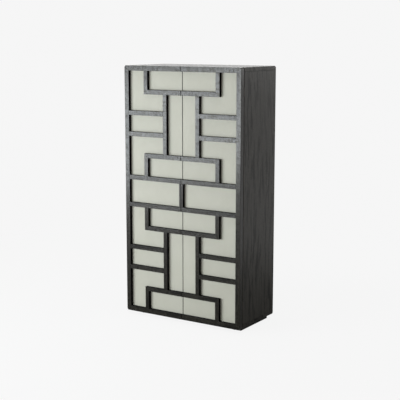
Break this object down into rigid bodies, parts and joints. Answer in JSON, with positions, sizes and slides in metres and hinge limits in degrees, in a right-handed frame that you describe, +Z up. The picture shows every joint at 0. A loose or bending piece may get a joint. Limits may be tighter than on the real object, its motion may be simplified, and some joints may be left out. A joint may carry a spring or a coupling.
{
  "type": "book cabinet",
  "caption": "Tall cabinet on a recessed plinth, with two lattice-fronted doors on lift-off hinges, push latches, a fixed middle shelf and lift-out shelves for books",
  "frame": {"origin": "on the floor, under the centre of the cabinet's outline", "axes": "+X to the right seen from the front, +Y from the doors to the back, +Z up"},
  "size_m": [1.0056, 0.494, 1.89],
  "materials": {
    "stained_frame": "open-grain veneer, stained black, matt lacquer",
    "stained_carcass": "open-grain veneer, stained black, matt lacquer",
    "greige_lacquer": "satin lacquered board, warm grey",
    "inner_shelf": "dark stained veneer, matt",
    "back_lacquer": "lacquered thin board, warm grey",
    "bare_wood": "planed hardwood, no finish",
    "hinge_steel": "dark bronze coat, satin",
    "pin_steel": "turned steel",
    "latch_plastic": "moulded, fine texture",
    "plated_steel": "zinc plated",
    "glide_plastic": "moulded, smooth"
  },
  "bodies": {
    "carcass": {"top_board": "stained_carcass", "bottom_board": "stained_carcass", "left_side_panel": "stained_carcass", "right_side_panel": "stained_carcass", "back_panel": "back_lacquer", "middle_shelf": "inner_shelf", "carcass_tongues": "bare_wood", "left_shelf_cleats": "inner_shelf", "right_shelf_cleats": "inner_shelf", "plinth_front_board": "stained_carcass", "plinth_back_board": "stained_carcass", "plinth_left_board": "stained_carcass", "plinth_right_board": "stained_carcass", "plinth_corner_blocks": "bare_wood", "floor_glides": "glide_plastic", "lift_out_shelf_1": "inner_shelf", "lift_out_shelf_2": "inner_shelf", "lift_out_shelf_3": "inner_shelf", "lift_out_shelf_4": "inner_shelf", "left_hinge_side_leaves": "hinge_steel", "left_hinge_pins": "pin_steel", "left_latch_housing": "latch_plastic", "left_latch_spring": "plated_steel", "right_hinge_side_leaves": "hinge_steel", "right_hinge_pins": "pin_steel", "right_latch_housing": "latch_plastic", "right_latch_spring": "plated_steel"},
    "left_door": {"left_door_panel": "greige_lacquer", "left_door_hinge_stile": "stained_frame", "left_door_bottom_rail": "stained_frame", "left_door_top_rail": "stained_frame", "left_door_lower_band_rail": "stained_frame", "left_door_upper_band_rail": "stained_frame", "left_door_meeting_bar": "stained_frame", "left_door_lower_long_upright": "stained_frame", "left_door_upper_long_upright": "stained_frame", "left_door_short_uprights": "stained_frame", "left_door_cross_bars": "stained_frame", "left_door_side_bars": "stained_frame", "left_door_strike_plate": "plated_steel", "left_hinge_door_leaves": "hinge_steel"},
    "left_plunger": {"left_latch_plunger": "latch_plastic", "left_latch_magnet": "plated_steel"},
    "right_door": {"right_door_panel": "greige_lacquer", "right_door_hinge_stile": "stained_frame", "right_door_bottom_rail": "stained_frame", "right_door_top_rail": "stained_frame", "right_door_lower_band_rail": "stained_frame", "right_door_upper_band_rail": "stained_frame", "right_door_meeting_bar": "stained_frame", "right_door_lower_long_upright": "stained_frame", "right_door_upper_long_upright": "stained_frame", "right_door_short_uprights": "stained_frame", "right_door_cross_bars": "stained_frame", "right_door_side_bars": "stained_frame", "right_door_strike_plate": "plated_steel", "right_hinge_door_leaves": "hinge_steel"},
    "right_plunger": {"right_latch_plunger": "latch_plastic", "right_latch_magnet": "plated_steel"}
  },
  "joints": [
    {"name": "left_door_hinge", "type": "hinge", "parent": "carcass", "child": "left_door", "pos_m": [-0.5, -0.205, 0.96], "axis": [0, 0, -1], "range_deg": [0, 110]},
    {"name": "right_door_hinge", "type": "hinge", "parent": "carcass", "child": "right_door", "pos_m": [0.5, -0.205, 0.96], "axis": [0, 0, 1], "range_deg": [0, 110]},
    {"name": "left_latch_slide", "type": "slide", "parent": "carcass", "child": "left_plunger", "axis": [0, 1, 0], "range_m": [0, 0.0025], "stiffness_N_per_m": 1200, "springref_m": -0.003, "deforming": ["left_latch_spring"]},
    {"name": "right_latch_slide", "type": "slide", "parent": "carcass", "child": "right_plunger", "axis": [0, 1, 0], "range_m": [0, 0.0025], "stiffness_N_per_m": 1200, "springref_m": -0.003, "deforming": ["right_latch_spring"]}
  ]
}
